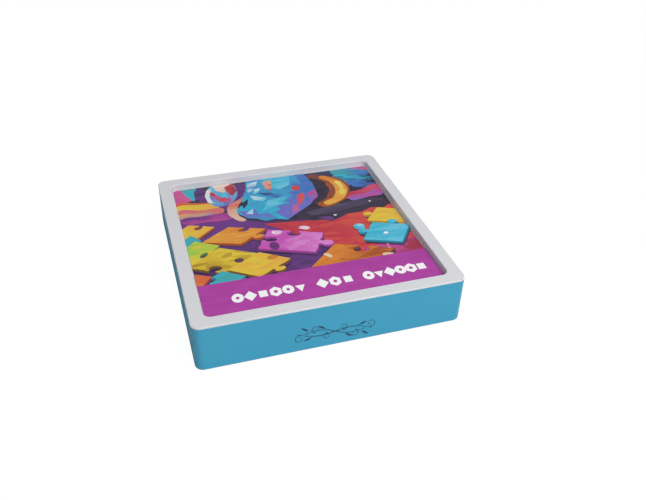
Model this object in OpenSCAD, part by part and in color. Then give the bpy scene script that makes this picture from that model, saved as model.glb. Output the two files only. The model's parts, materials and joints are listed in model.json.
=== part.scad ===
// Tabletop sliding tile puzzle: a two-part case, a tray of fifteen loose tiles
// with one free cell, and a lift-out picture cover that keeps the tiles in.
// Millimetres, +Z up, origin on the table under the middle, front face to -Y.

/* [Case] */
// Width and depth of the white top frame, the widest piece
frame_w = 160; // [150:1:170]
// Height from the table to the top of the frame
total_h = 31.5; // [29:0.5:34]
// Radius of the four upright corners
corner_r = 5; // [4:0.5:8]
// How far the case sides stand in from the frame's edge
case_inset = 0.1; // [0.05:0.05:0.3]
// Thickness of the case walls
wall_t = 2.4; // [1.8:0.1:3]
// Thickness of the case floor
floor_t = 2.2; // [2:0.1:3]
// Rounding along the case's bottom edge
bottom_edge_r = 1.2; // [0.6:0.1:2]

/* [Top frame] */
// Width of the flat rim that is seen from above
rim_w = 8; // [7:0.5:10]
// Depth of the recess down to the picture
recess_d = 4.2; // [3:0.1:6]
// Thickness of the frame's flange over the case walls
flange_t = 1; // [1:0.1:2]
// Radius of the recess's upright inner corners
recess_r = 4.4; // [3:0.1:6]
// Width of the ledge that carries the cover
ledge_w = 2.4; // [2:0.1:3]
// Thickness of that ledge
ledge_t = 1.6; // [1.2:0.1:2]
// Rounding of the frame's top edges
frame_edge_r = 0.5; // [0.3:0.1:0.8]

/* [Cover] */
// Thickness of the cover board without its print
cover_t = 2.2; // [1.6:0.1:3]
// Thickness of the printed sheet on the cover
print_t = 0.2; // [0.1:0.05:0.4]
// Gap between the cover and the recess all round
cover_gap = 0.35; // [0.2:0.05:0.5]
// Bare margin of the cover outside the print
print_margin = 0.5; // [0.3:0.1:1]
// Width of the fingernail notch in the cover's front edge
notch_w = 24; // [16:1:30]
// Depth of that notch
notch_d = 3; // [2:0.5:4]

/* [Tiles] */
// Cells along each side of the grid
grid_n = 4; // [4:1:4]
// Play between neighbouring tiles
tile_gap = 0.4; // [0.3:0.05:0.6]
// Thickness of a tile
tile_h = 12; // [10:0.5:13]
// Radius of a tile's upright corners
tile_r = 2; // [1.5:0.1:3]
// Rounding of a tile's top edge
tile_edge_r = 0.8; // [0.4:0.1:1.2]
// Room between the tile tops and the cover
tile_headroom = 0.6; // [0.4:0.1:1]

/* [Tray] */
// Thickness of the tray's floor
tray_floor_t = 2; // [1.6:0.1:3]
// Thickness of the tray's walls
tray_wall_t = 2; // [1.6:0.1:2.4]
// Radius of the pegs that centre the tray
peg_r = 1.6; // [1.4:0.1:2]
// Length of those pegs
peg_l = 3; // [2:0.5:4]

/* [Screws and feet] */
// Distance of the screws from the middle, along X and along Y
screw_at = 74.1; // [74:0.1:74.2]
// Radius of the screw's shank
shank_r = 1.25; // [1.2:0.05:1.4]
// Radius of the screw's head
head_r = 2.25; // [2.1:0.05:2.3]
// Height of the screw's head
head_h = 1.7; // [1.5:0.1:2]
// Height at which the screws clamp the two case halves together
split_z = 20; // [18:0.5:21]
// Distance of the feet from the middle, along X and along Y
foot_at = 63; // [58:1:64]
// Radius of a rubber foot
foot_r = 5; // [4:0.5:6]
// How far the feet stand out of the case floor
foot_proud = 0.4; // [0.4:0.1:1]
// How deep the feet are set into the case floor
foot_set = 1; // [0.8:0.1:1.2]

/* [Hidden] */
$fn = 96;
eps = 0.5;
recess_w = frame_w - 2 * rim_w;
field_w = recess_w - 2 * ledge_w;
pitch = field_w / grid_n;
tile_w = pitch - tile_gap;
case_w = frame_w - 2 * case_inset;
case_r = corner_r - case_inset;
inner_w = case_w - 2 * wall_t;
inner_r = case_r - wall_t;
floor_z = foot_proud + floor_t;
cover_top_z = total_h - recess_d;
ledge_z = cover_top_z - print_t - cover_t;
tile_z = ledge_z - tile_headroom - tile_h;
tray_z = tile_z - tray_floor_t;
tray_w = field_w + 2 * tray_wall_t;
tray_top_z = ledge_z - ledge_t;
flange_z = total_h - flange_t;
recess_wall_t = 2;
well_r = 1.2;
lip_w = inner_w - 0.4;
lip_t = 1.6;
lip_h = 2.6;
frame_boss_r = lip_w / 2 - screw_at;
case_boss_r = 3.4;
rib_t = 1.6;
head_z = 4.3;
seat_z = head_z + head_h;
shank_top_z = split_z + 4;
cover_w = recess_w - 2 * cover_gap;
cover_r = recess_r - cover_gap;
print_w = cover_w - 2 * print_margin;
corners = [[-1, -1], [1, -1], [-1, 1], [1, 1]];
corner_names = ["front_left", "front_right", "back_left", "back_right"];

case_blue = "#4BA0BF";
frame_white = "#D9DADF";
tray_grey = "#5C6470";
board_white = "#E9E9EC";
print_plum = "#8E3E86";
tile_cream = "#EFEAE0";
steel = "#B4B6B8";
rubber_grey = "#2B2C2E";

function tile_name(n) = str("tile_", n < 10 ? "0" : "", n);
function screw_name(k) = str("screw_", corner_names[k]);
function foot_name(k) = str("foot_", corner_names[k]);
// Cell centres run along each row from the left, and the rows from the back.
function cell_xy(n) = [
    ((n - 1) % grid_n - (grid_n - 1) / 2) * pitch,
    ((grid_n - 1) / 2 - floor((n - 1) / grid_n)) * pitch
];

// Carries an upright section round a square of side w with corners of radius r.
// The section's x runs outwards from the corner's axis and its y runs upwards.
module round_square(w, r) {
    for (a = [0 : 90 : 270]) rotate(a) translate([w / 2 - r, w / 2 - r, 0]) {
        rotate_extrude(angle = 90) children();
        rotate([90, 0, 0]) linear_extrude(w - 2 * r) children();
    }
}

module quarter_disc(r) {
    intersection() {
        circle(r);
        square(2 * r);
    }
}

// Half section of a slab, with its outer low and high edges rounded.
module slab_section(r, h, low, high) {
    square([r - max(low, high), h]);
    translate([0, low]) square([r, h - low - high]);
    if (high > 0) translate([r - high, h - high]) quarter_disc(high);
    if (low > 0) translate([r - low, low]) mirror([0, 1]) quarter_disc(low);
}

// Square slab standing on z = 0, with rounded upright corners and edges.
module slab(w, r, h, low = 0, high = 0) {
    round_square(w, r) slab_section(r, h, low, high);
    translate([r - w / 2, r - w / 2, 0]) cube([w - 2 * r, w - 2 * r, h]);
}

// Places a child at each corner, at the same distance along X and along Y.
module at_corners(d) {
    for (c = corners) translate([c[0] * d, c[1] * d, 0]) children();
}

module floor_ribs() {
    h = tray_z - floor_z;
    for (i = [-1 : 1]) for (a = [0, 90]) rotate(a)
        translate([i * pitch - rib_t / 2, -field_w / 2, floor_z]) cube([rib_t, field_w, h]);
    at_corners(pitch) translate([0, 0, floor_z]) cylinder(r = peg_r + 1.8, h = h);
}

module case_shell() {
    color(case_blue) difference() {
        union() {
            difference() {
                translate([0, 0, foot_proud])
                    slab(case_w, case_r, flange_z - foot_proud, low = bottom_edge_r);
                translate([0, 0, floor_z]) slab(inner_w, inner_r, total_h);
            }
            floor_ribs();
            at_corners(screw_at) translate([0, 0, floor_z])
                cylinder(r = case_boss_r, h = split_z - floor_z);
        }
        at_corners(pitch) translate([0, 0, tray_z - peg_l - eps])
            cylinder(r = peg_r + 0.15, h = peg_l + 2 * eps);
        at_corners(screw_at) {
            translate([0, 0, -eps]) cylinder(r = head_r + 0.2, h = seat_z + eps);
            cylinder(r = shank_r + 0.2, h = split_z + eps);
        }
        at_corners(foot_at) translate([0, 0, -eps])
            cylinder(r = foot_r + 0.1, h = foot_proud + foot_set + eps);
        translate([0, 0, foot_proud - eps]) slab(92, 6, 0.4 + eps);
    }
}

module top_frame() {
    color(frame_white) difference() {
        union() {
            translate([0, 0, flange_z]) slab(frame_w, corner_r, flange_t, high = frame_edge_r);
            translate([0, 0, tray_top_z]) slab(
                recess_w + 2 * recess_wall_t, recess_r + recess_wall_t, total_h - tray_top_z - eps
            );
            difference() {
                translate([0, 0, flange_z - lip_h]) slab(lip_w, inner_r - 0.2, lip_h + 0.1);
                translate([0, 0, flange_z - lip_h - eps])
                    slab(lip_w - 2 * lip_t, 0.7, lip_h + 2 * eps);
            }
            at_corners(screw_at) translate([0, 0, split_z])
                cylinder(r = frame_boss_r, h = flange_z - split_z + 0.1);
        }
        translate([0, 0, ledge_z]) slab(recess_w, recess_r, total_h);
        translate([0, 0, tray_top_z - eps]) slab(field_w, well_r, total_h);
        round_square(recess_w, recess_r) translate([recess_r, total_h - frame_edge_r])
            difference() {
                translate([-0.2, 0]) square([frame_edge_r + 0.2, 2 * frame_edge_r]);
                translate([frame_edge_r, 0]) circle(frame_edge_r);
            }
        at_corners(screw_at) translate([0, 0, split_z - eps])
            cylinder(r = shank_r + 0.05, h = shank_top_z - split_z + 1 + eps);
    }
}

module tile_tray() {
    color(tray_grey) {
        difference() {
            translate([0, 0, tray_z]) slab(tray_w, well_r + tray_wall_t, tray_top_z - tray_z);
            translate([0, 0, tile_z]) slab(field_w, well_r, total_h);
        }
        at_corners(pitch) translate([0, 0, tray_z - peg_l]) cylinder(r = peg_r, h = peg_l + 1);
    }
}

// The notch's outline: a slot of the given half-length, reaching in from the edge.
module notch(depth, h) {
    x = notch_w / 2 - notch_d;
    translate([0, -cover_w / 2, 0]) linear_extrude(h) {
        translate([-x, -depth]) square([2 * x, 2 * depth]);
        for (s = [-x, x]) translate([s, 0]) circle(depth);
    }
}

module cover_panel() {
    color(board_white) difference() {
        translate([0, 0, ledge_z]) slab(cover_w, cover_r, cover_t, low = 0.4);
        translate([0, 0, ledge_z - eps]) notch(notch_d, cover_t + 2 * eps);
    }
}

module cover_print() {
    color(print_plum) difference() {
        translate([0, 0, ledge_z + cover_t]) slab(print_w, cover_r - print_margin, print_t);
        translate([0, 0, ledge_z + cover_t - eps]) notch(notch_d + print_margin, print_t + 2 * eps);
    }
}

module tile(n) {
    c = cell_xy(n);
    color(tile_cream) translate([c[0], c[1], tile_z])
        slab(tile_w, tile_r, tile_h, low = 0.4, high = tile_edge_r);
}

module screw(k) {
    c = corners[k];
    color(steel) translate([c[0] * screw_at, c[1] * screw_at, 0]) difference() {
        union() {
            translate([0, 0, head_z]) rotate_extrude() slab_section(head_r, head_h, 0.6, 0);
            translate([0, 0, seat_z - eps]) cylinder(r = shank_r, h = shank_top_z - 1 - seat_z + eps);
            translate([0, 0, shank_top_z - 1]) cylinder(r1 = shank_r, r2 = 0.5, h = 1);
        }
        for (a = [0, 90]) rotate(a) translate([-1.4, -0.35, head_z - eps]) cube([2.8, 0.7, 0.9 + eps]);
    }
}

module foot(k) {
    c = corners[k];
    color(rubber_grey) translate([c[0] * foot_at, c[1] * foot_at, 0])
        rotate_extrude() slab_section(foot_r, foot_proud + foot_set, 0.4, 0);
}

case_shell();
top_frame();
tile_tray();
cover_panel();
cover_print();
for (n = [1 : grid_n * grid_n - 1]) tile(n);
for (k = [0 : 3]) screw(k);
for (k = [0 : 3]) foot(k);
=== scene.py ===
"""Tabletop sliding tile puzzle: moulded case, lift-out picture cover and numbered tiles.

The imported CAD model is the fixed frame. This script finishes every CAD piece, prints the picture
on the cover and on the tiles, and sets up the floor, the lights and the camera.
"""

import json
import logging
import math
from dataclasses import dataclass
from enum import Enum
from typing import Any, Iterable, Sequence

import bmesh
import bpy
from mathutils import Matrix, Vector


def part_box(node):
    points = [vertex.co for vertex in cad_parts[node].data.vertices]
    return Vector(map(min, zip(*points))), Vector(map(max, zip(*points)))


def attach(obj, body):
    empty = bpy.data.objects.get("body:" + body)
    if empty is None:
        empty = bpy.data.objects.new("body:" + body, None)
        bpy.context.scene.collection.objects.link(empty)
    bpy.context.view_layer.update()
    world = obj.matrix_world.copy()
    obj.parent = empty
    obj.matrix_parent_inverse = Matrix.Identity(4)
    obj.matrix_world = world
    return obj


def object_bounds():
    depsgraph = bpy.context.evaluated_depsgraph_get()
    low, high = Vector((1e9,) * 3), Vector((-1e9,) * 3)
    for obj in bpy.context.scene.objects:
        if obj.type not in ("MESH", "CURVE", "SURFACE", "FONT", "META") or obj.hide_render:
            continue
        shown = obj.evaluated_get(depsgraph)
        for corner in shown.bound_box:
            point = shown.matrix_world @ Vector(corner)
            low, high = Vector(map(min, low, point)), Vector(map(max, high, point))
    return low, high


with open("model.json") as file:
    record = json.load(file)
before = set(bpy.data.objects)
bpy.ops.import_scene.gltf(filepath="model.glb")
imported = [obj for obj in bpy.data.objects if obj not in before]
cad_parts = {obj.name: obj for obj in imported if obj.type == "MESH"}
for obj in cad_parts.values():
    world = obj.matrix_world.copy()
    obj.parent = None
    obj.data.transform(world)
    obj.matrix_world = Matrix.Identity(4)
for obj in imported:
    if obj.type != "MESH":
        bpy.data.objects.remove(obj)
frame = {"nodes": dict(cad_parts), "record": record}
CAD_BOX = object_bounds()

LOG = logging.getLogger("tile_puzzle")
MM = 0.001

Point = tuple[float, float]
Colour = tuple[float, float, float, float]


def linear(hex_code: str) -> Colour:
    """Turns an sRGB hex colour into linear light.

    Args:
        hex_code: the colour as "#RRGGBB".

    Returns:
        Red, green, blue and an alpha of 1.
    """
    parts = [int(hex_code[i : i + 2], 16) / 255 for i in (1, 3, 5)]
    red, green, blue = (
        c / 12.92 if c <= 0.04045 else ((c + 0.055) / 1.055) ** 2.4 for c in parts
    )
    return red, green, blue, 1.0


def add_node(
    tree: bpy.types.NodeTree,
    kind: str,
    inputs: dict[str | int, Any] | None = None,
    **settings: Any,
) -> bpy.types.Node:
    """Adds a node with its settings and links.

    Args:
        tree: the tree that gets the node.
        kind: the node's type name.
        inputs: for each input, the value it holds or the output socket that feeds it.
        **settings: the node's own options.

    Returns:
        The new node.
    """
    node = tree.nodes.new(kind)
    for option, value in settings.items():
        setattr(node, option, value)
    for key, value in (inputs or {}).items():
        if isinstance(value, bpy.types.NodeSocket):
            tree.links.new(value, node.inputs[key])
        else:
            node.inputs[key].default_value = value
    return node


def new_material(name: str) -> tuple[bpy.types.Material, bpy.types.NodeTree]:
    """Makes an empty node material.

    Args:
        name: the finish's name.

    Returns:
        The material and its cleared node tree.
    """
    material = bpy.data.materials.new(name)
    material.use_nodes = True
    material.node_tree.nodes.clear()
    return material, material.node_tree


def object_point(tree: bpy.types.NodeTree) -> bpy.types.NodeSocket:
    """The shaded point in the object's own coordinates, in metres."""
    return add_node(tree, "ShaderNodeTexCoord").outputs["Object"]


def per_metre(size_mm: float) -> float:
    """A texture's scale that makes its pattern repeat about every size_mm."""
    return 1 / (size_mm * MM)


@dataclass(frozen=True)
class MouldedPlastic:
    """Injection-moulded ABS, satin from a spark-eroded mould.

    The fine mould grain breaks up the highlight, and the tone drifts a little across a wide face.
    """

    name: str
    colour: str
    drift_colour: str
    roughness: float = 0.42
    grain_mm: float = 0.5
    grain_depth_mm: float = 0.012
    drift_mm: float = 45.0

    def material(self) -> bpy.types.Material:
        """Builds the material."""
        material, tree = new_material(self.name)
        point = object_point(tree)
        drift = add_node(
            tree,
            "ShaderNodeTexNoise",
            {"Vector": point, "Scale": per_metre(self.drift_mm), "Detail": 2.0},
        )
        tone = add_node(
            tree,
            "ShaderNodeMix",
            {0: drift.outputs["Fac"], 6: linear(self.colour), 7: linear(self.drift_colour)},
            data_type="RGBA",
        )
        grain = add_node(
            tree,
            "ShaderNodeTexNoise",
            {"Vector": point, "Scale": per_metre(self.grain_mm), "Detail": 2.0},
        )
        bump = add_node(
            tree,
            "ShaderNodeBump",
            {
                "Height": grain.outputs["Fac"],
                "Distance": self.grain_depth_mm * MM,
                "Strength": 0.6,
            },
        )
        sheen = add_node(
            tree,
            "ShaderNodeMapRange",
            {
                "Value": grain.outputs["Fac"],
                "To Min": self.roughness - 0.05,
                "To Max": self.roughness + 0.05,
            },
        )
        shader = add_node(
            tree,
            "ShaderNodeBsdfPrincipled",
            {
                "Base Color": tone.outputs[2],
                "Roughness": sheen.outputs[0],
                "Normal": bump.outputs[0],
                "IOR": 1.54,
            },
        )
        add_node(tree, "ShaderNodeOutputMaterial", {"Surface": shader.outputs[0]})
        return material


@dataclass(frozen=True)
class PrintedSheet:
    """Offset print under a thin matt film.

    Each patch of ink runs from one colour to another along its own direction, in the short
    faceted strokes of a painted picture. The film gives the whole sheet one even sheen.
    """

    name: str
    roughness: float = 0.38
    stroke_mm: float = 5.0
    stroke_spread: float = 0.85
    stroke_lean_deg: float = 28.0
    fibre_mm: float = 0.6
    fibre_depth_mm: float = 0.01

    def material(self) -> bpy.types.Material:
        """Builds the material."""
        material, tree = new_material(self.name)
        point = object_point(tree)
        lean = add_node(
            tree,
            "ShaderNodeMapping",
            {
                "Vector": point,
                "Rotation": (0.0, 0.0, math.radians(self.stroke_lean_deg)),
                "Scale": (0.55, 1.5, 1.0),
            },
        )
        strokes = add_node(
            tree,
            "ShaderNodeTexVoronoi",
            {"Vector": lean.outputs[0], "Scale": per_metre(self.stroke_mm), "Randomness": 1.0},
        )
        stroke_tone = add_node(tree, "ShaderNodeSeparateColor", {0: strokes.outputs["Color"]})
        flat = add_node(tree, "ShaderNodeSeparateXYZ", {0: point})
        plane = add_node(
            tree, "ShaderNodeCombineXYZ", {0: flat.outputs[0], 1: flat.outputs[1], 2: 1.0}
        )
        aim = add_node(tree, "ShaderNodeAttribute", attribute_name="aim")
        ramp = add_node(
            tree,
            "ShaderNodeVectorMath",
            {0: plane.outputs[0], 1: aim.outputs["Vector"]},
            operation="DOT_PRODUCT",
        )
        spread = add_node(
            tree,
            "ShaderNodeMapRange",
            {
                "Value": stroke_tone.outputs[0],
                "To Min": -self.stroke_spread / 2,
                "To Max": self.stroke_spread / 2,
            },
        )
        blend = add_node(
            tree,
            "ShaderNodeMath",
            {0: ramp.outputs["Value"], 1: spread.outputs[0]},
            operation="ADD",
            use_clamp=True,
        )
        inks = [
            add_node(tree, "ShaderNodeAttribute", attribute_name=name).outputs["Color"]
            for name in ("ink_a", "ink_b")
        ]
        colour = add_node(
            tree,
            "ShaderNodeMix",
            {0: blend.outputs[0], 6: inks[0], 7: inks[1]},
            data_type="RGBA",
        )
        fibre = add_node(
            tree,
            "ShaderNodeTexNoise",
            {"Vector": point, "Scale": per_metre(self.fibre_mm), "Detail": 2.0},
        )
        bump = add_node(
            tree,
            "ShaderNodeBump",
            {
                "Height": fibre.outputs["Fac"],
                "Distance": self.fibre_depth_mm * MM,
                "Strength": 0.4,
            },
        )
        shader = add_node(
            tree,
            "ShaderNodeBsdfPrincipled",
            {
                "Base Color": colour.outputs[2],
                "Roughness": self.roughness,
                "Normal": bump.outputs[0],
                "IOR": 1.5,
            },
        )
        add_node(tree, "ShaderNodeOutputMaterial", {"Surface": shader.outputs[0]})
        return material


@dataclass(frozen=True)
class ZincScrew:
    """Zinc-plated steel wire, cold-headed, with the plating's cloudy tone."""

    name: str = "zinc_plated_steel"
    colour: str = "#B9BBBD"
    dull_colour: str = "#8F9296"
    roughness: float = 0.34
    cloud_mm: float = 1.6

    def material(self) -> bpy.types.Material:
        """Builds the material."""
        material, tree = new_material(self.name)
        point = object_point(tree)
        cloud = add_node(
            tree,
            "ShaderNodeTexNoise",
            {"Vector": point, "Scale": per_metre(self.cloud_mm), "Detail": 3.0},
        )
        tone = add_node(
            tree,
            "ShaderNodeMix",
            {0: cloud.outputs["Fac"], 6: linear(self.colour), 7: linear(self.dull_colour)},
            data_type="RGBA",
        )
        rough = add_node(
            tree,
            "ShaderNodeMapRange",
            {
                "Value": cloud.outputs["Fac"],
                "To Min": self.roughness - 0.08,
                "To Max": self.roughness + 0.12,
            },
        )
        shader = add_node(
            tree,
            "ShaderNodeBsdfPrincipled",
            {"Base Color": tone.outputs[2], "Roughness": rough.outputs[0], "Metallic": 1.0},
        )
        add_node(tree, "ShaderNodeOutputMaterial", {"Surface": shader.outputs[0]})
        return material


@dataclass(frozen=True)
class MouldedRubber:
    """Compression-moulded rubber, matt, with a pebbled skin that catches dust."""

    name: str = "moulded_rubber"
    colour: str = "#2A2B2D"
    dust_colour: str = "#3F4042"
    pebble_mm: float = 0.7

    def material(self) -> bpy.types.Material:
        """Builds the material."""
        material, tree = new_material(self.name)
        point = object_point(tree)
        pebble = add_node(
            tree, "ShaderNodeTexVoronoi", {"Vector": point, "Scale": per_metre(self.pebble_mm)}
        )
        tone = add_node(
            tree,
            "ShaderNodeMix",
            {0: pebble.outputs["Distance"], 6: linear(self.dust_colour), 7: linear(self.colour)},
            data_type="RGBA",
        )
        bump = add_node(
            tree,
            "ShaderNodeBump",
            {"Height": pebble.outputs["Distance"], "Distance": 0.06 * MM, "Strength": 0.7},
        )
        shader = add_node(
            tree,
            "ShaderNodeBsdfPrincipled",
            {
                "Base Color": tone.outputs[2],
                "Roughness": 0.82,
                "Normal": bump.outputs[0],
                "IOR": 1.52,
            },
        )
        add_node(tree, "ShaderNodeOutputMaterial", {"Surface": shader.outputs[0]})
        return material


class Ink(Enum):
    """The picture's inks, as sRGB hex."""

    BAND = "#BA40AB"
    BAND_DEEP = "#AC389F"
    WHITE = "#FFFFFF"
    CREAM = "#F2E3DA"
    ICE = "#D6EDF2"
    BEIGE = "#E2BDA8"
    NAVY = "#27305E"
    DEEP = "#1E1B30"
    PLUM = "#3D2E48"
    SLATE = "#514766"
    VIOLET = "#6E3389"
    GRAPE = "#4A2A66"
    MAGENTA = "#C24A9C"
    ROSE = "#D9618F"
    PINK = "#CB50B7"
    PINK_SHADE = "#9C3593"
    BLUSH = "#DF86D4"
    RED = "#C02C46"
    BRICK = "#A32F4A"
    CORAL = "#D64E44"
    ORANGE = "#E0872C"
    RUST = "#A9501F"
    AMBER = "#EBAE45"
    BROWN = "#7A3A32"
    YELLOW = "#E6CB38"
    OCHRE = "#B58A1E"
    UMBER = "#6E4A1C"
    LEMON = "#F1E06E"
    LIME = "#93D04E"
    FOREST = "#3F8A45"
    TEAL = "#3FA7A9"
    CYAN = "#2FB6D6"
    SKY = "#6CCBE6"
    DEEP_CYAN = "#147C9C"
    AZURE = "#3F93CF"
    BLUE = "#3C78C4"
    LILAC = "#6F70CC"


@dataclass(frozen=True)
class Patch:
    """One flat patch of ink on the picture.

    The outline is in picture units: u from the left edge to the right, v from the top down.
    """

    outline: tuple[Point, ...]
    start: Ink
    end: Ink
    smooth: bool = True
    heading_deg: float = -60.0
    span: float = 0.2

    def box(self) -> tuple[float, float, float, float]:
        """The outline's lowest u, highest u, lowest v and highest v."""
        us, vs = zip(*self.outline)
        return min(us), max(us), min(vs), max(vs)


def arc(
    middle: Point, radius: float, start_deg: float, stop_deg: float, steps: int
) -> list[Point]:
    """Points on an arc in picture units, where a positive angle turns towards growing v.

    Args:
        middle: the arc's middle.
        radius: its radius.
        start_deg: the angle of its first point.
        stop_deg: the angle of its last point.
        steps: how many equal steps it has.

    Returns:
        The points, both ends included.
    """
    step = (stop_deg - start_deg) / steps
    angles = (math.radians(start_deg + step * i) for i in range(steps + 1))
    return [(middle[0] + radius * math.cos(a), middle[1] + radius * math.sin(a)) for a in angles]


def spot(
    middle: Point, wide: float, high: float, sides: int = 8, turn_deg: float = 0.0
) -> tuple[Point, ...]:
    """An oval or a regular polygon about a middle point.

    Args:
        middle: the spot's middle.
        wide: half its width.
        high: half its height.
        sides: how many outline points it has.
        turn_deg: how far its points are turned round.

    Returns:
        The outline.
    """
    return tuple(
        (middle[0] + wide * x, middle[1] + high * y)
        for x, y in arc((0, 0), 1, turn_deg, turn_deg + 360 * (sides - 1) / sides, sides - 1)
    )


def ribbon(path: Sequence[tuple[float, float, float]]) -> tuple[Point, ...]:
    """The outline of a stroke whose width changes along its path.

    Args:
        path: points as (across, up, half width).

    Returns:
        The outline, down one side of the stroke and back up the other.
    """
    left: list[Point] = []
    right: list[Point] = []
    for i, (x, y, half) in enumerate(path):
        ahead = path[min(i + 1, len(path) - 1)]
        behind = path[max(i - 1, 0)]
        run = Vector((ahead[0] - behind[0], ahead[1] - behind[1])).normalized() * half
        left.append((x - run.y, y + run.x))
        right.append((x + run.y, y - run.x))
    return tuple(left + right[::-1])


def filled(outline: Sequence[Point], smooth: bool) -> bpy.types.Mesh:
    """Fills a closed outline as a flat mesh facing +Z.

    Args:
        outline: the outline's points.
        smooth: whether the outline runs through its points in a curve.

    Returns:
        The mesh, which the caller removes.
    """
    curve = bpy.data.curves.new("outline", "CURVE")
    curve.dimensions, curve.fill_mode, curve.resolution_u = "2D", "BOTH", 5
    spline = curve.splines.new("BEZIER")
    spline.bezier_points.add(len(outline) - 1)
    for knot, (x, y) in zip(spline.bezier_points, outline):
        knot.co = (x, y, 0)
        knot.handle_left_type = knot.handle_right_type = "AUTO" if smooth else "VECTOR"
    spline.use_cyclic_u = True
    holder = bpy.data.objects.new("outline", curve)
    bpy.context.scene.collection.objects.link(holder)
    bpy.context.view_layer.update()
    graph = bpy.context.evaluated_depsgraph_get()
    mesh = bpy.data.meshes.new_from_object(holder.evaluated_get(graph))
    bpy.data.objects.remove(holder)
    bpy.data.curves.remove(curve)
    return mesh


def into_object(
    name: str, shape: bmesh.types.BMesh, finish: bpy.types.Material, body: str
) -> bpy.types.Object:
    """Makes a finished piece and lets it ride on a CAD body.

    Args:
        name: the piece's name.
        shape: its mesh in place, freed here.
        finish: its material.
        body: the CAD body that it moves with.

    Returns:
        The piece.
    """
    mesh = bpy.data.meshes.new(name)
    shape.to_mesh(mesh)
    shape.free()
    mesh.materials.append(finish)
    piece = bpy.data.objects.new(name, mesh)
    bpy.context.scene.collection.objects.link(piece)
    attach(piece, body)
    LOG.info("%s: %d faces on %s", name, len(mesh.polygons), body)
    return piece


def dress(nodes: Iterable[str], finish: bpy.types.Material) -> None:
    """Gives CAD nodes a finish."""
    for node in nodes:
        mesh = frame["nodes"][node].data
        mesh.materials.clear()
        mesh.materials.append(finish)
        LOG.info("%s: %s", node, finish.name)


@dataclass(frozen=True)
class Jigsaw:
    """A jigsaw piece in the picture, drawn as a tilted slab with a lit face and a dark side."""

    corner: Point
    along: Point
    down: Point
    tabs: tuple[int, int, int, int]
    face: tuple[Ink, Ink]
    side: Ink
    heading_deg: float = -35.0
    thickness: float = 0.016

    def outline(self, drop: float = 0.0) -> tuple[Point, ...]:
        """The piece's outline, lowered by drop.

        Args:
            drop: how far down the picture it is moved.

        Returns:
            The outline, with a knob, a socket or a straight run on each side as tabs says.
        """
        knob = (
            (0.0, 0.0), (0.2, 0.02), (0.41, 0.0), (0.43, 0.05), (0.37, 0.12), (0.38, 0.2),
            (0.44, 0.25), (0.5, 0.26), (0.56, 0.25), (0.62, 0.2), (0.63, 0.12), (0.57, 0.05),
            (0.59, 0.0), (0.8, 0.02),
        )  # fmt: skip
        points: list[Point] = []
        square = ((0, 0), (1, 0), (1, 1), (0, 1))
        for i, tab in enumerate(self.tabs):
            x0, y0 = square[i]
            x1, y1 = square[(i + 1) % 4]
            for t, rise in knob if tab else knob[:1]:
                out = -rise * tab
                x = x0 + (x1 - x0) * t - (y1 - y0) * out
                y = y0 + (y1 - y0) * t + (x1 - x0) * out
                u = self.corner[0] + self.along[0] * x + self.down[0] * y
                v = self.corner[1] + self.along[1] * x + self.down[1] * y
                points.append((u, v + drop))
        return tuple(points)

    def patches(self) -> list[Patch]:
        """The shadow, the side and the face, from the lowest up."""
        return [
            Patch(self.outline(1.6 * self.thickness), Ink.DEEP, Ink.GRAPE, False),
            Patch(self.outline(self.thickness), self.side, self.side, False),
            Patch(self.outline(0.5 * self.thickness), self.side, self.side, False),
            Patch(self.outline(), *self.face, False, self.heading_deg, 0.3),
        ]


BACKGROUND = (
    Patch(((0.0, 0.0), (0.14, 0.0), (0.12, 0.1), (0.0, 0.145)), Ink.MAGENTA, Ink.ROSE, False),
    Patch(
        ((0.1, 0.0), (0.365, 0.0), (0.335, 0.13), (0.225, 0.245), (0.12, 0.195)),
        Ink.PLUM, Ink.VIOLET, False,
    ),
    Patch(
        ((0.04, 0.0), (0.115, 0.0), (0.105, 0.07), (0.09, 0.125), (0.06, 0.07)),
        Ink.TEAL, Ink.CYAN, False,
    ),
    Patch(
        ((0.1, 0.03), (0.14, 0.0), (0.165, 0.06), (0.13, 0.14), (0.095, 0.1)),
        Ink.NAVY, Ink.VIOLET, False,
    ),
    Patch(
        ((0.61, 0.0), (1.0, 0.0), (1.0, 0.3), (0.795, 0.295), (0.675, 0.33)),
        Ink.NAVY, Ink.DEEP, False,
    ),
    Patch(
        ((0.0, 0.265), (0.205, 0.3), (0.365, 0.39), (0.56, 0.43), (0.63, 0.64), (0.51, 0.805),
         (0.0, 0.805)),
        Ink.VIOLET, Ink.GRAPE, False,
    ),
    Patch(
        ((0.365, 0.4), (0.61, 0.43), (0.815, 0.39), (1.0, 0.39), (1.0, 0.805), (0.57, 0.805),
         (0.61, 0.64)),
        Ink.RED, Ink.CORAL, False, 20.0, 0.5,
    ),
    Patch(
        ((0.46, 0.35), (0.51, 0.36), (0.61, 0.295), (0.815, 0.265), (1.0, 0.255), (1.0, 0.38),
         (0.95, 0.41), (0.89, 0.395), (0.835, 0.42), (0.765, 0.42), (0.715, 0.445), (0.675, 0.46),
         (0.64, 0.44), (0.59, 0.435), (0.56, 0.41), (0.51, 0.4)),
        Ink.PLUM, Ink.DEEP, False, 90.0, 0.2,
    ),
    Patch(
        ((0.57, 0.36), (0.755, 0.32), (0.94, 0.315), (0.99, 0.34), (0.865, 0.36), (0.735, 0.39),
         (0.61, 0.39)),
        Ink.SLATE, Ink.PLUM, False,
    ),
    Patch(
        ((0.62, 0.41), (0.685, 0.42), (0.69, 0.455), (0.66, 0.45)),
        Ink.SLATE, Ink.VIOLET, False,
    ),
    Patch(
        ((0.755, 0.7), (1.0, 0.68), (1.0, 0.805), (0.715, 0.805)),
        Ink.MAGENTA, Ink.BRICK, False,
    ),
    Patch(
        ((0.365, 0.68), (0.57, 0.64), (0.51, 0.805), (0.345, 0.805)),
        Ink.GRAPE, Ink.VIOLET, False,
    ),
)  # fmt: skip

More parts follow.
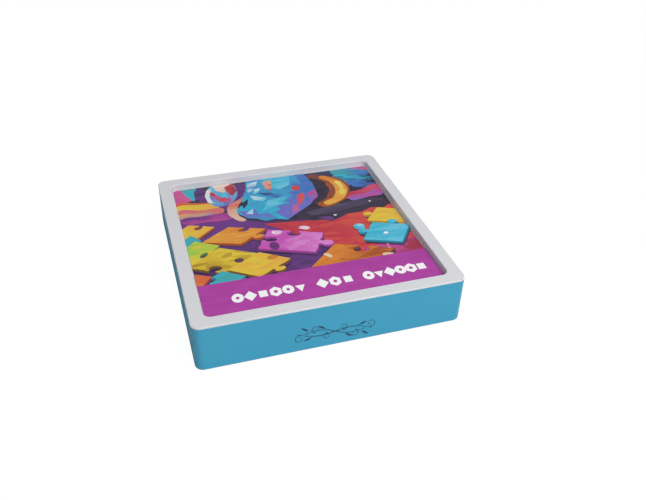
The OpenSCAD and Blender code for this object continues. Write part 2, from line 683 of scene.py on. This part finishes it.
SKY = (
    Patch(
        ((0.0, 0.13), (0.09, 0.14), (0.205, 0.195), (0.12, 0.185), (0.0, 0.165)),
        Ink.CORAL, Ink.ORANGE,
    ),
    Patch(
        ((0.0, 0.155), (0.08, 0.155), (0.195, 0.205), (0.1, 0.225), (0.0, 0.195)),
        Ink.YELLOW, Ink.AMBER,
    ),
    Patch(
        ((0.0, 0.195), (0.1, 0.21), (0.215, 0.235), (0.1, 0.26), (0.0, 0.235)),
        Ink.ROSE, Ink.ORANGE,
    ),
    Patch(
        ((0.0, 0.23), (0.08, 0.235), (0.16, 0.26), (0.06, 0.275), (0.0, 0.265)),
        Ink.AMBER, Ink.LILAC,
    ),
    Patch(
        ((0.0, 0.275), (0.1, 0.265), (0.245, 0.295), (0.1, 0.32), (0.0, 0.31)),
        Ink.VIOLET, Ink.MAGENTA,
    ),
    Patch(
        ((0.815, 0.0), (0.94, 0.01), (1.01, 0.06), (0.9, 0.09), (0.815, 0.05)),
        Ink.TEAL, Ink.BLUE,
    ),
    Patch(
        ((0.795, 0.07), (0.92, 0.08), (1.0, 0.13), (0.94, 0.165), (0.835, 0.13)),
        Ink.CYAN, Ink.NAVY,
    ),
    Patch(((0.855, 0.13), (0.97, 0.155), (1.0, 0.215), (0.92, 0.215)), Ink.BLUE, Ink.NAVY),
    Patch(((0.9, 0.0), (1.0, 0.0), (1.0, 0.05), (0.97, 0.03)), Ink.MAGENTA, Ink.ROSE, False),
    Patch(
        ((0.775, 0.265), (0.9, 0.225), (1.0, 0.195), (1.0, 0.245), (0.9, 0.275)),
        Ink.RED, Ink.ROSE,
    ),
    Patch(
        ((0.815, 0.295), (0.92, 0.265), (1.0, 0.245), (1.0, 0.285), (0.92, 0.3)),
        Ink.LILAC, Ink.MAGENTA,
    ),
)  # fmt: skip

CRESCENT = (
    Patch(
        ((0.655, 0.05), (0.735, 0.07), (0.765, 0.165), (0.725, 0.265), (0.655, 0.31)),
        Ink.DEEP, Ink.PLUM,
    ),
    Patch(
        ((0.675, 0.03), (0.775, 0.05), (0.845, 0.12), (0.845, 0.215), (0.785, 0.3), (0.655, 0.315),
         (0.725, 0.245), (0.76, 0.165), (0.735, 0.09)),
        Ink.BROWN, Ink.RUST,
    ),
    Patch(
        ((0.735, 0.05), (0.805, 0.09), (0.84, 0.155), (0.82, 0.245), (0.755, 0.305), (0.685, 0.31),
         (0.75, 0.255), (0.78, 0.175), (0.77, 0.11)),
        Ink.AMBER, Ink.ORANGE, True, 70.0, 0.25,
    ),
    Patch(
        ((0.755, 0.12), (0.775, 0.155), (0.76, 0.215), (0.725, 0.265), (0.75, 0.185)),
        Ink.RUST, Ink.BROWN,
    ),
    Patch(((0.805, 0.11), (0.825, 0.165), (0.795, 0.245), (0.805, 0.175)), Ink.LEMON, Ink.AMBER),
)  # fmt: skip

SMALL_STONE = (
    Patch(
        ((0.195, 0.0), (0.285, 0.0), (0.305, 0.06), (0.295, 0.13), (0.265, 0.175), (0.225, 0.2),
         (0.18, 0.195), (0.155, 0.145), (0.15, 0.08)),
        Ink.SKY, Ink.LILAC, True, -80.0, 0.2,
    ),
    Patch(
        ((0.195, 0.0), (0.28, 0.0), (0.275, 0.05), (0.235, 0.08), (0.205, 0.05)),
        Ink.CREAM, Ink.BEIGE, False,
    ),
    Patch(
        ((0.25, 0.03), (0.295, 0.0), (0.305, 0.08), (0.275, 0.12), (0.255, 0.08)),
        Ink.CORAL, Ink.BRICK, False,
    ),
    Patch(
        ((0.165, 0.07), (0.185, 0.06), (0.215, 0.12), (0.265, 0.14), (0.255, 0.175),
         (0.205, 0.16)),
        Ink.RED, Ink.ROSE, False,
    ),
    Patch(
        ((0.16, 0.04), (0.185, 0.03), (0.165, 0.1), (0.175, 0.165), (0.15, 0.155), (0.145, 0.09)),
        Ink.CREAM, Ink.ICE, False,
    ),
    Patch(((0.205, 0.08), (0.245, 0.09), (0.255, 0.13), (0.225, 0.12)), Ink.CYAN, Ink.SKY, False),
)  # fmt: skip

BIG_STONE = (
    Patch(
        ((0.345, 0.145), (0.285, 0.17), (0.245, 0.195), (0.225, 0.245), (0.235, 0.31),
         (0.29, 0.355), (0.27, 0.3), (0.275, 0.245), (0.305, 0.185)),
        Ink.BEIGE, Ink.CORAL, True, 80.0, 0.2,
    ),
    Patch(
        ((0.365, 0.0), (0.665, 0.0), (0.67, 0.06), (0.685, 0.1), (0.68, 0.215), (0.62, 0.295),
         (0.57, 0.33), (0.51, 0.375), (0.48, 0.395), (0.43, 0.375), (0.38, 0.38), (0.345, 0.35),
         (0.305, 0.335), (0.275, 0.295), (0.265, 0.255), (0.305, 0.215), (0.315, 0.155),
         (0.345, 0.09)),
        Ink.CYAN, Ink.AZURE, False, 60.0, 0.5,
    ),
    Patch(
        ((0.62, 0.0), (0.665, 0.0), (0.685, 0.1), (0.68, 0.215), (0.62, 0.295), (0.51, 0.375),
         (0.48, 0.39), (0.44, 0.32), (0.47, 0.295), (0.46, 0.265), (0.53, 0.26), (0.51, 0.235),
         (0.56, 0.195), (0.54, 0.155), (0.6, 0.155), (0.58, 0.08), (0.63, 0.09)),
        Ink.LILAC, Ink.BLUE, False, 80.0, 0.3,
    ),
    Patch(
        ((0.275, 0.265), (0.335, 0.285), (0.355, 0.26), (0.365, 0.32), (0.405, 0.31),
         (0.44, 0.365), (0.38, 0.375), (0.345, 0.345), (0.295, 0.325)),
        Ink.LILAC, Ink.AZURE, False,
    ),
    Patch(
        ((0.45, 0.0), (0.59, 0.0), (0.57, 0.09), (0.51, 0.12), (0.46, 0.09)),
        Ink.CYAN, Ink.SKY, False,
    ),
    Patch(((0.43, 0.205), (0.53, 0.195), (0.49, 0.255), (0.385, 0.295)), Ink.SKY, Ink.CYAN, False),
    Patch(
        ((0.44, 0.03), (0.49, 0.02), (0.48, 0.08), (0.465, 0.12), (0.445, 0.1)),
        Ink.BEIGE, Ink.CORAL, False,
    ),
    Patch(
        ((0.365, 0.03), (0.42, 0.015), (0.405, 0.06), (0.375, 0.1), (0.35, 0.12)),
        Ink.ICE, Ink.AZURE, False,
    ),
    Patch(((0.39, 0.09), (0.42, 0.08), (0.405, 0.12), (0.375, 0.13)), Ink.ICE, Ink.SKY, False),
    Patch(
        ((0.355, 0.14), (0.385, 0.155), (0.43, 0.185), (0.405, 0.21), (0.365, 0.185)),
        Ink.ICE, Ink.SKY, False,
    ),
    Patch(((0.305, 0.295), (0.345, 0.265), (0.335, 0.31)), Ink.ICE, Ink.SKY, False),
    Patch(
        ((0.395, 0.125), (0.46, 0.14), (0.505, 0.18), (0.48, 0.195), (0.43, 0.16)),
        Ink.NAVY, Ink.BLUE, False,
    ),
    Patch(((0.3, 0.205), (0.34, 0.17), (0.33, 0.215), (0.305, 0.25)), Ink.DEEP, Ink.NAVY, False),
    Patch(spot((0.59, 0.13), 0.02, 0.026), Ink.RED, Ink.CORAL),
    Patch(
        ((0.58, 0.195), (0.615, 0.18), (0.61, 0.23), (0.58, 0.275), (0.555, 0.3)),
        Ink.CORAL, Ink.ROSE, False,
    ),
    Patch(
        ((0.63, 0.195), (0.68, 0.165), (0.675, 0.235), (0.62, 0.285)),
        Ink.MAGENTA, Ink.LILAC, False,
    ),
    Patch(
        ((0.54, 0.265), (0.56, 0.285), (0.555, 0.33), (0.51, 0.365)),
        Ink.ROSE, Ink.LILAC, False,
    ),
)  # fmt: skip

JIGSAWS = (
    Jigsaw(
        (0.035, 0.32), (0.11, 0.045), (-0.125, 0.105), (-1, 0, 0, 0),
        (Ink.YELLOW, Ink.AMBER), Ink.RUST, 10.0,
    ),
    Jigsaw(
        (0.205, 0.385), (0.16, 0.055), (-0.135, 0.09), (-1, 1, 0, 0),
        (Ink.AMBER, Ink.ORANGE), Ink.RUST, 10.0,
    ),
    Jigsaw(
        (0.03, 0.41), (0.04, 0.05), (-0.07, 0.06), (0, 0, 0, 0),
        (Ink.CYAN, Ink.TEAL), Ink.DEEP_CYAN,
    ),
    Jigsaw(
        (0.04, 0.46), (0.1, 0.06), (-0.125, 0.125), (0, -1, 0, 0),
        (Ink.LIME, Ink.YELLOW), Ink.FOREST,
    ),
    Jigsaw(
        (0.37, 0.45), (0.235, 0.09), (-0.075, 0.135), (-1, 1, 0, -1),
        (Ink.PINK, Ink.BLUSH), Ink.PINK_SHADE,
    ),
    Jigsaw(
        (0.13, 0.535), (0.175, 0.095), (-0.145, 0.115), (0, 0, -1, 0),
        (Ink.OCHRE, Ink.YELLOW), Ink.UMBER, 60.0,
    ),
    Jigsaw(
        (0.295, 0.615), (0.12, 0.08), (-0.155, 0.09), (0, 1, 0, 0),
        (Ink.YELLOW, Ink.AMBER), Ink.UMBER,
    ),
    Jigsaw(
        (0.115, 0.705), (0.09, 0.06), (-0.125, 0.085), (0, 0, 0, -1),
        (Ink.CYAN, Ink.TEAL), Ink.DEEP_CYAN,
    ),
    Jigsaw(
        (-0.01, 0.695), (0.08, 0.035), (-0.05, 0.06), (0, 0, 0, 0),
        (Ink.ORANGE, Ink.CORAL), Ink.BRICK,
    ),
    Jigsaw(
        (0.63, 0.64), (0.245, 0.095), (-0.155, 0.145), (-1, 0, 0, 0),
        (Ink.ORANGE, Ink.RUST), Ink.BROWN,
    ),
    Jigsaw(
        (0.92, 0.405), (0.155, 0.06), (-0.085, 0.095), (0, 0, 0, 1),
        (Ink.YELLOW, Ink.AMBER), Ink.OCHRE,
    ),
    Jigsaw(
        (0.85, 0.525), (0.16, 0.06), (-0.085, 0.12), (1, 0, 0, 1),
        (Ink.CYAN, Ink.SKY), Ink.DEEP_CYAN,
    ),
)  # fmt: skip

GLINTS = (
    Patch(spot((0.2, 0.65), 0.02, 0.016), Ink.UMBER, Ink.GRAPE),
    Patch(((0.325, 0.655), (0.365, 0.665), (0.345, 0.68), (0.32, 0.675)), Ink.OCHRE, Ink.ORANGE),
    Patch(spot((0.37, 0.585), 0.022, 0.03), Ink.GRAPE, Ink.PINK_SHADE),
    Patch(((0.385, 0.475), (0.43, 0.485), (0.425, 0.495), (0.39, 0.495)), Ink.BLUSH, Ink.WHITE),
    Patch(((0.51, 0.475), (0.56, 0.485), (0.555, 0.495), (0.52, 0.49)), Ink.BLUSH, Ink.WHITE),
    Patch(((0.5, 0.62), (0.54, 0.595), (0.545, 0.605), (0.51, 0.63)), Ink.BLUSH, Ink.PINK),
    Patch(((0.56, 0.7), (0.59, 0.715), (0.585, 0.735), (0.57, 0.72)), Ink.CREAM, Ink.AMBER),
    Patch(((0.805, 0.77), (0.845, 0.77), (0.855, 0.78), (0.815, 0.785)), Ink.CREAM, Ink.AMBER),
    Patch(spot((0.88, 0.62), 0.011, 0.009), Ink.WHITE, Ink.ICE),
    Patch(spot((0.78, 0.54), 0.026, 0.024), Ink.CYAN, Ink.SKY),
    Patch(((0.775, 0.525), (0.8, 0.53), (0.795, 0.54), (0.775, 0.535)), Ink.ICE, Ink.SKY),
    Patch(((0.845, 0.72), (0.855, 0.7), (0.86, 0.72), (0.855, 0.74)), Ink.ROSE, Ink.BLUSH),
    Patch(spot((0.705, 0.415), 0.008, 0.006), Ink.CREAM, Ink.ICE),
    Patch(spot((0.905, 0.34), 0.006, 0.005), Ink.CREAM, Ink.ICE),
)  # fmt: skip


@dataclass(frozen=True)
class Window:
    """The part of the picture that one printed face shows.

    Sizes are in metres: the middle and half width of the face, its corner radius and its height.
    """

    middle: Point
    half: float
    corner: float
    height: float

    def trim(self, shape: bmesh.types.BMesh, turns: int = 24) -> None:
        """Cuts a flat shape back to the face.

        Args:
            shape: the shape to cut.
            turns: how many straight cuts go round the face.
        """
        for i in range(turns):
            angle = math.tau * i / turns
            out = Vector((math.cos(angle), math.sin(angle), 0))
            reach = (self.half - self.corner) * (abs(out.x) + abs(out.y)) + self.corner
            bmesh.ops.bisect_plane(
                shape,
                geom=shape.verts[:] + shape.edges[:] + shape.faces[:],
                plane_co=Vector((*self.middle, 0)) + out * reach,
                plane_no=out,
                clear_outer=True,
            )


@dataclass
class Picture:
    """The printed picture: stones and jigsaw pieces on red ground, above a band of shapes."""

    width: float
    lift: float = 0.014 * MM
    band_top: float = 0.782
    row_at: float = 0.897
    notch: Sequence[Point] = ()

    def sheet(self) -> tuple[Point, ...]:
        """The whole sheet's outline, round the cover's notch if it has one."""
        return ((0, 0), (1, 0), (1, 1), *self.notch, (0, 1))

    def band(self) -> list[Patch]:
        """The band along the front edge and its row of white shapes."""
        top = self.band_top
        low = ((0, top), (1, top), (1, 1), *self.notch, (0, 1))
        patches = [Patch(low, Ink.BAND, Ink.BAND_DEEP, False, 90.0, 0.4)]
        groups = (("odsqot", 0.144, 0.0515), ("dqs", 0.494, 0.055), ("otdoqs", 0.694, 0.0475))
        row = [
            (kind, first + step * i)
            for kinds, first, step in groups
            for i, kind in enumerate(kinds)
        ]
        for kind, u in row:
            sides, turn, smooth = {
                "o": (8, 0, True), "d": (4, 0, False), "s": (4, 45, False),
                "q": (6, 30, False), "t": (3, 90, False),
            }[kind]  # fmt: skip
            size = 0.024 if kind in "sot" else 0.027
            outline = spot((u, self.row_at), size, size * 1.15, sides, turn)
            patches.append(Patch(outline, Ink.WHITE, Ink.WHITE, smooth))
            if kind in "oq":
                hole = spot((u, self.row_at), size * 0.3, size * 0.34, 8)
                patches.append(Patch(hole, Ink.BAND, Ink.BAND_DEEP))
        return patches

    def patches(self) -> list[Patch]:
        """Every patch of ink, from the lowest up."""
        jigsaws = [patch for jigsaw in JIGSAWS for patch in jigsaw.patches()]
        ground = Patch(self.sheet(), Ink.GRAPE, Ink.PLUM, False, 90.0, 0.6)
        return [
            ground, *BACKGROUND, *SKY, *CRESCENT, *SMALL_STONE, *BIG_STONE, *jigsaws, *GLINTS,
            *self.band(),
        ]  # fmt: skip

    def stacked(self, window: Window) -> Iterable[tuple[Patch, int]]:
        """The patches that reach a face, each with its level above the sheet.

        Args:
            window: the face.

        Yields:
            A patch and a level one above every earlier patch that it may lie on.
        """
        reach = window.half / self.width
        u0, v0 = window.middle[0] / self.width + 0.5, 0.5 - window.middle[1] / self.width
        laid: list[tuple[tuple[float, float, float, float], int]] = []
        for patch in self.patches():
            low_u, high_u, low_v, high_v = patch.box()
            box = (
                max(low_u, u0 - reach), min(high_u, u0 + reach),
                max(low_v, v0 - reach), min(high_v, v0 + reach),
            )  # fmt: skip
            if box[0] >= box[1] or box[2] >= box[3]:
                continue
            level = 1 + max(
                (
                    under
                    for b, under in laid
                    if b[0] < box[1] and box[0] < b[1] and b[2] < box[3] and box[2] < b[3]
                ),
                default=0,
            )
            laid.append((box, level))
            yield patch, level

    def place(self, point: Point) -> Point:
        """Turns picture units into metres about the sheet's middle."""
        return (point[0] - 0.5) * self.width, (0.5 - point[1]) * self.width

    def printed(self, window: Window) -> bmesh.types.BMesh:
        """Prints the picture on one face.

        Args:
            window: the face.

        Returns:
            The print, each patch a hair above those under it, with its inks as attributes.
        """
        whole = bmesh.new()
        names = ("ink_a", "ink_b", "aim")
        for name in names:
            whole.loops.layers.float_color.new(name)
        for patch, level in self.stacked(window):
            mesh = filled([self.place(p) for p in patch.outline], patch.smooth)
            shape = bmesh.new()
            shape.from_mesh(mesh)
            window.trim(shape)
            layers = [shape.loops.layers.float_color.new(name) for name in names]
            low_u, high_u, low_v, high_v = patch.box()
            middle = Vector(self.place(((low_u + high_u) / 2, (low_v + high_v) / 2)))
            heading = math.radians(patch.heading_deg)
            run = Vector((math.cos(heading), math.sin(heading))) / (patch.span * self.width)
            aim = (run.x, run.y, 0.5 - run.dot(middle), 1.0)
            inks = (linear(patch.start.value), linear(patch.end.value), aim)
            for face in shape.faces:
                for corner in face.loops:
                    for layer, value in zip(layers, inks):
                        corner[layer] = value
            height = window.height + level * self.lift
            bmesh.ops.translate(shape, vec=(0, 0, height), verts=shape.verts)
            shape.to_mesh(mesh)
            shape.free()
            whole.from_mesh(mesh)
            bpy.data.meshes.remove(mesh)
        return whole


@dataclass
class Cover:
    """The lift-out cover: a stiff board with the picture sheet glued on it."""

    sheet_finish: PrintedSheet
    board_finish: MouldedPlastic
    core_finish: MouldedPlastic
    edge: float = 0.15 * MM
    corner: float = 3.4 * MM
    notch_half: float = 12.65 * MM
    notch_depth: float = 3.25 * MM

    def build(self) -> None:
        """Dresses the board and prints the picture over the sheet."""
        dress(["cover_panel"], self.board_finish.material())
        dress(["cover_print"], self.core_finish.material())
        _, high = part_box("cover_print")
        half = high.x - self.edge
        width = 2 * high.x
        depth, reach = self.notch_depth / width, self.notch_half / width
        bend = reach - depth
        ends = arc((0.5 + bend, 1), depth, 0, -90, 6) + arc((0.5 - bend, 1), depth, -90, -180, 6)
        picture = Picture(width, notch=ends)
        window = Window((0, 0), half, self.corner, high.z)
        finish = self.sheet_finish.material()
        into_object("cover_picture", picture.printed(window), finish, "cover")


@dataclass
class TileSet:
    """Fifteen tiles that make the cover's picture, numbered in the order that solves it."""

    body_finish: MouldedPlastic
    face_finish: PrintedSheet
    badge_finish: MouldedPlastic
    digit_finish: MouldedPlastic
    count: int = 15
    tray_wall: float = 2.0 * MM
    face_inset: float = 1.2 * MM
    face_corner: float = 1.0 * MM
    badge_radius: float = 4.2 * MM
    badge_inset: float = 1.4
    badge_lift: float = 0.33 * MM
    digit_lift: float = 0.03 * MM
    digit_height: float = 5.4 * MM
    digit_swell: float = 0.12 * MM

    def body_of(self, node: str) -> str:
        """The CAD body that a tile's node belongs to."""
        bodies = frame["record"]["behaviour"]["bodies"]
        return next(body for body, nodes in bodies.items() if node in nodes)

    def badge(self, middle: Vector) -> bmesh.types.BMesh:
        """A round badge under a tile's number."""
        shape = bmesh.new()
        bmesh.ops.create_circle(
            shape,
            cap_ends=True,
            segments=40,
            radius=self.badge_radius,
            matrix=Matrix.Translation(middle),
        )
        return shape

    def digits(self, number: int, middle: Vector) -> bmesh.types.BMesh:
        """A tile's number as flat strokes.

        Args:
            number: the tile's place in the solved order.
            middle: the middle of its badge.

        Returns:
            The number, centred on middle.
        """
        text = bpy.data.curves.new("digits", "FONT")
        text.body, text.size = str(number), self.digit_height
        text.align_x, text.align_y, text.offset = "CENTER", "CENTER", self.digit_swell
        holder = bpy.data.objects.new("digits", text)
        bpy.context.scene.collection.objects.link(holder)
        bpy.context.view_layer.update()
        graph = bpy.context.evaluated_depsgraph_get()
        mesh = bpy.data.meshes.new_from_object(holder.evaluated_get(graph))
        bpy.data.objects.remove(holder)
        bpy.data.curves.remove(text)
        shape = bmesh.new()
        shape.from_mesh(mesh)
        bpy.data.meshes.remove(mesh)
        bmesh.ops.translate(shape, vec=middle, verts=shape.verts)
        return shape

    def build(self) -> None:
        """Dresses the tiles, prints their faces and numbers them."""
        nodes = [f"tile_{n:02d}" for n in range(1, self.count + 1)]
        dress(nodes, self.body_finish.material())
        face, badge, digit = (
            self.face_finish.material(),
            self.badge_finish.material(),
            self.digit_finish.material(),
        )
        tray_low, tray_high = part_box("tile_tray")
        picture = Picture(tray_high.x - tray_low.x - 2 * self.tray_wall)
        for number, node in enumerate(nodes, 1):
            low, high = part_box(node)
            middle = (low + high) / 2
            half = (high.x - low.x) / 2 - self.face_inset
            window = Window((middle.x, middle.y), half, self.face_corner, high.z)
            body = self.body_of(node)
            into_object(f"{node}_face", picture.printed(window), face, body)
            inwards = self.badge_inset * self.badge_radius - half
            spot_at = Vector((middle.x + inwards, middle.y + inwards, high.z + self.badge_lift))
            into_object(f"{node}_badge", self.badge(spot_at), badge, body)
            spot_at.z += self.digit_lift
            into_object(f"{node}_number", self.digits(number, spot_at), digit, body)


@dataclass
class Case:
    """The moulded case: blue shell, white top frame, grey tray, screws and feet."""

    shell_finish: MouldedPlastic
    frame_finish: MouldedPlastic
    tray_finish: MouldedPlastic
    screw_finish: ZincScrew
    foot_finish: MouldedRubber
    print_finish: MouldedPlastic
    scroll_tilt_deg: float = -6.0
    scroll_height: float = 11.0 * MM
    scroll_gap: float = 0.03 * MM
    stroke_lift: float = 0.001 * MM

    def stem(self, reach: int, rise: float, swell: float) -> list[tuple[float, float, float]]:
        """A stem that swings once below and once above the middle line.

        Args:
            reach: half its length, in millimetres.
            rise: how far it swings, in millimetres.
            swell: how much wider its middle is than its ends, in millimetres.

        Returns:
            Its path as (across, up, half width), in millimetres.
        """
        return [
            (x, rise * math.sin(x / reach * math.pi), 0.12 + swell * (1 - abs(x) / (reach + 2)))
            for x in range(-reach, reach + 1, 2)
        ]

    def curl(
        self, side: int, reach: float, turn: float, radius: float
    ) -> list[tuple[float, float, float]]:
        """A curl that winds inwards as it leaves a stem.

        Args:
            side: -1 for the left half of the scroll, 1 for the right.
            reach: how far from the middle it starts, in millimetres.
            turn: 1 where it winds upwards on the right half, -1 where it winds downwards.
            radius: its radius at the start, in millimetres.

        Returns:
            Its path as (across, up, half width), in millimetres.
        """
        path = []
        for i in range(17):
            swing = math.radians(28 * i - 90)
            wound = radius * (1 - 0.05 * i)
            x = reach + wound * math.cos(swing)
            y = turn * (radius + 0.3 + wound * math.sin(swing))
            path.append((side * x, side * y, 0.26 * (1 - i / 19)))
        return path

    def leaf(
        self, side: int, x: float, y: float, lean: float
    ) -> list[tuple[float, float, float]]:
        """A slim leaf beside a stem.

        Args:
            side: -1 for the left half of the scroll, 1 for the right.
            x: how far its middle is from the scroll's middle, in millimetres.
            y: how far its middle is above the middle line, in millimetres.
            lean: how far it rises for each millimetre across.

        Returns:
            Its path as (across, up, half width), in millimetres.
        """
        widths = ((-2.4, 0.03), (-0.7, 0.6), (0.7, 0.6), (2.4, 0.03))
        return [(side * (x + d), side * (y + lean * d), half) for d, half in widths]

    def scroll(self) -> bmesh.types.BMesh:
        """The thin scroll printed on the front: two swept stems with curls and leaves.

        Returns:
            The scroll, standing just off the front wall.
        """
        strokes = [ribbon(self.stem(22, 2.2, 0.28)), ribbon(self.stem(18, -2.0, 0.18))]
        for side in (-1, 1):
            for reach, turn, radius in ((21, 1.0, 3.0), (12, -1.0, 2.7), (4.5, 1.0, 2.5)):
                strokes.append(ribbon(self.curl(side, reach, turn, radius)))
            for x, y, lean in ((16, 4.0, 0.5), (8.5, -3.8, -0.5), (18.5, -3.4, -0.6)):
                strokes.append(ribbon(self.leaf(side, x, y, lean)))
        shape = bmesh.new()
        for level, stroke in enumerate(strokes):
            mesh = filled([(x * MM, y * MM) for x, y in stroke], True)
            part = bmesh.new()
            part.from_mesh(mesh)
            bmesh.ops.translate(part, vec=(0, 0, self.stroke_lift * level), verts=part.verts)
            part.to_mesh(mesh)
            part.free()
            shape.from_mesh(mesh)
            bpy.data.meshes.remove(mesh)
        low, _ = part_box("case_shell")
        stand = (
            Matrix.Translation((0, low.y - self.scroll_gap, self.scroll_height))
            @ Matrix.Rotation(math.radians(90), 4, "X")
            @ Matrix.Rotation(math.radians(self.scroll_tilt_deg), 4, "Z")
        )
        bmesh.ops.transform(shape, matrix=stand, verts=shape.verts)
        return shape

    def build(self) -> None:
        """Dresses the case's CAD pieces and prints the scroll."""
        corners = ("front_left", "front_right", "back_left", "back_right")
        dress(["case_shell"], self.shell_finish.material())
        dress(["top_frame"], self.frame_finish.material())
        dress(["tile_tray"], self.tray_finish.material())
        dress([f"screw_{c}" for c in corners], self.screw_finish.material())
        dress([f"foot_{c}" for c in corners], self.foot_finish.material())
        finish = self.print_finish.material()
        into_object("front_scroll", self.scroll(), finish, "case")


@dataclass
class Studio:
    """A pale floor, soft lights and the camera."""

    camera_at: tuple[float, float, float] = (-0.09826, -0.35588, 0.27663)
    azimuth_deg: float = -17.99
    elevation_deg: float = 35.56
    roll_deg: float = 1.42
    lens_mm: float = 38.53
    world_light: float = 0.37
    floor_tone: str = "#FFFFFF"
    floor_glow: float = 0.97
    floor_bounce: float = 0.55
    floor_shade: float = 0.06
    floor_half: float = 6.0
    floor_gap: float = 0.05 * MM
    under_glow: float = 0.6
    under_inset: float = 3 * MM
    under_gap: float = 0.03 * MM

    def lay(self, name: str, half: float, height: float, lit: bool) -> None:
        """Lays a level sheet that is clear from below.

        Args:
            name: the sheet's name.
            half: half its side, in metres.
            height: how high it lies, in metres.
            lit: whether it shines on what stands on it, or takes the studio's light as the floor.
        """
        material, tree = new_material(name)
        white = linear(self.floor_tone)
        if lit:
            top = add_node(
                tree, "ShaderNodeEmission", {"Color": white, "Strength": self.under_glow}
            )
        else:
            path = add_node(tree, "ShaderNodeLightPath")
            glow = add_node(
                tree, "ShaderNodeEmission", {"Color": white, "Strength": self.floor_glow}
            )
            matt, faint = (
                add_node(tree, "ShaderNodeBsdfDiffuse", {"Color": (grey, grey, grey, 1.0)})
                for grey in (self.floor_bounce, self.floor_shade)
            )
            seen = add_node(tree, "ShaderNodeAddShader", {0: glow.outputs[0], 1: faint.outputs[0]})
            top = add_node(
                tree,
                "ShaderNodeMixShader",
                {0: path.outputs["Is Camera Ray"], 1: matt.outputs[0], 2: seen.outputs[0]},
            )
        clear = add_node(tree, "ShaderNodeBsdfTransparent")
        under = add_node(tree, "ShaderNodeNewGeometry").outputs["Backfacing"]
        both = add_node(
            tree, "ShaderNodeMixShader", {0: under, 1: top.outputs[0], 2: clear.outputs[0]}
        )
        add_node(tree, "ShaderNodeOutputMaterial", {"Surface": both.outputs[0]})
        shape = bmesh.new()
        bmesh.ops.create_grid(shape, x_segments=1, y_segments=1, size=half)
        bmesh.ops.translate(shape, vec=(0, 0, height), verts=shape.verts)
        mesh = bpy.data.meshes.new(name)
        shape.to_mesh(mesh)
        shape.free()
        mesh.materials.append(material)
        sheet = bpy.data.objects.new(name, mesh)
        bpy.context.scene.collection.objects.link(sheet)

    def floor(self) -> None:
        """Lays the white floor, and a lit sheet that shows the underside from below."""
        low, high = CAD_BOX
        self.lay("studio_floor", self.floor_half, low.z - self.floor_gap, False)
        self.lay("studio_under_light", high.x - self.under_inset, low.z - self.under_gap, True)

    def world(self) -> None:
        """Sets an even white surround that lights less than it shows."""
        world = bpy.data.worlds.new("studio")
        bpy.context.scene.world = world
        world.use_nodes = True
        tree = world.node_tree
        tree.nodes.clear()
        path = add_node(tree, "ShaderNodeLightPath")
        level = add_node(
            tree,
            "ShaderNodeMapRange",
            {"Value": path.outputs["Is Camera Ray"], "To Min": self.world_light, "To Max": 1.0},
        )
        surround = add_node(
            tree,
            "ShaderNodeBackground",
            {"Color": (1.0, 1.0, 1.0, 1.0), "Strength": level.outputs[0]},
        )
        add_node(tree, "ShaderNodeOutputWorld", {"Surface": surround.outputs[0]})

    def lamp(
        self, name: str, place: tuple[float, float, float], size: float, power: float
    ) -> None:
        """Hangs a soft square lamp that faces the puzzle.

        Args:
            name: the lamp's name.
            place: where it hangs, in metres.
            size: its side, in metres.
            power: its power in watts.
        """
        light = bpy.data.lights.new(name, "AREA")
        light.shape, light.size, light.energy = "SQUARE", size, power
        lamp = bpy.data.objects.new(name, light)
        lamp.location = place
        lamp.rotation_euler = (-Vector(place)).to_track_quat("-Z", "Y").to_euler()
        bpy.context.scene.collection.objects.link(lamp)

    def camera(self) -> None:
        """Sets the camera up."""
        az, el, roll = (
            math.radians(a) for a in (self.azimuth_deg, self.elevation_deg, self.roll_deg)
        )
        back = Vector(
            (math.sin(az) * math.cos(el), -math.cos(az) * math.cos(el), math.sin(el))
        )
        right = (-back).cross(Vector((0, 0, 1))).normalized()
        up = right.cross(-back)
        across = right * math.cos(roll) + up * math.sin(roll)
        upright = up * math.cos(roll) - right * math.sin(roll)
        data = bpy.data.cameras.new("camera")
        data.sensor_width = 36.0
        data.lens = self.lens_mm
        data.clip_start, data.clip_end = 0.01, 50.0
        camera = bpy.data.objects.new("camera", data)
        turn = Matrix((across, upright, back)).transposed().to_4x4()
        camera.matrix_world = Matrix.Translation(self.camera_at) @ turn
        bpy.context.scene.collection.objects.link(camera)
        bpy.context.scene.camera = camera

    def build(self) -> None:
        """Builds the whole studio."""
        self.camera()
        self.floor()
        self.world()
        self.lamp("front_lamp", (0.4, -0.8, 0.95), 0.7, 10.8)
        self.lamp("top_lamp", (0.2, 0.1, 1.1), 0.9, 0.8)


def main() -> None:
    """Builds the studio and the puzzle's parts in order."""
    bpy.context.scene.view_settings.view_transform = "Standard"
    logging.basicConfig(level=logging.INFO, format="%(message)s")
    Studio().build()
    Case(
        shell_finish=MouldedPlastic("abs_blue_satin", "#3AA8CD", "#44AED2"),
        frame_finish=MouldedPlastic("abs_white_satin", "#E4E4E8", "#DCDDE2", roughness=0.48),
        tray_finish=MouldedPlastic("abs_slate_satin", "#5C6470", "#535B67", roughness=0.5),
        screw_finish=ZincScrew(),
        foot_finish=MouldedRubber(),
        print_finish=MouldedPlastic("pad_print_navy", "#1F3F66", "#274C77", roughness=0.5),
    ).build()
    Cover(
        sheet_finish=PrintedSheet("laminated_print"),
        board_finish=MouldedPlastic("white_board", "#EDEDEF", "#E4E4E7", roughness=0.6),
        core_finish=MouldedPlastic("print_sheet_edge", "#E7E2E6", "#DCD6DC", roughness=0.5),
    ).build()
    TileSet(
        body_finish=MouldedPlastic("abs_cream_gloss", "#EFE9DC", "#E8E1D2", roughness=0.28),
        face_finish=PrintedSheet("tile_print", roughness=0.32),
        badge_finish=MouldedPlastic("badge_print_cream", "#F7F3EA", "#EFEAE0", roughness=0.4),
        digit_finish=MouldedPlastic("digit_print_navy", "#1F2C55", "#26345F", roughness=0.4),
    ).build()


if __name__ == "__main__":
    main()
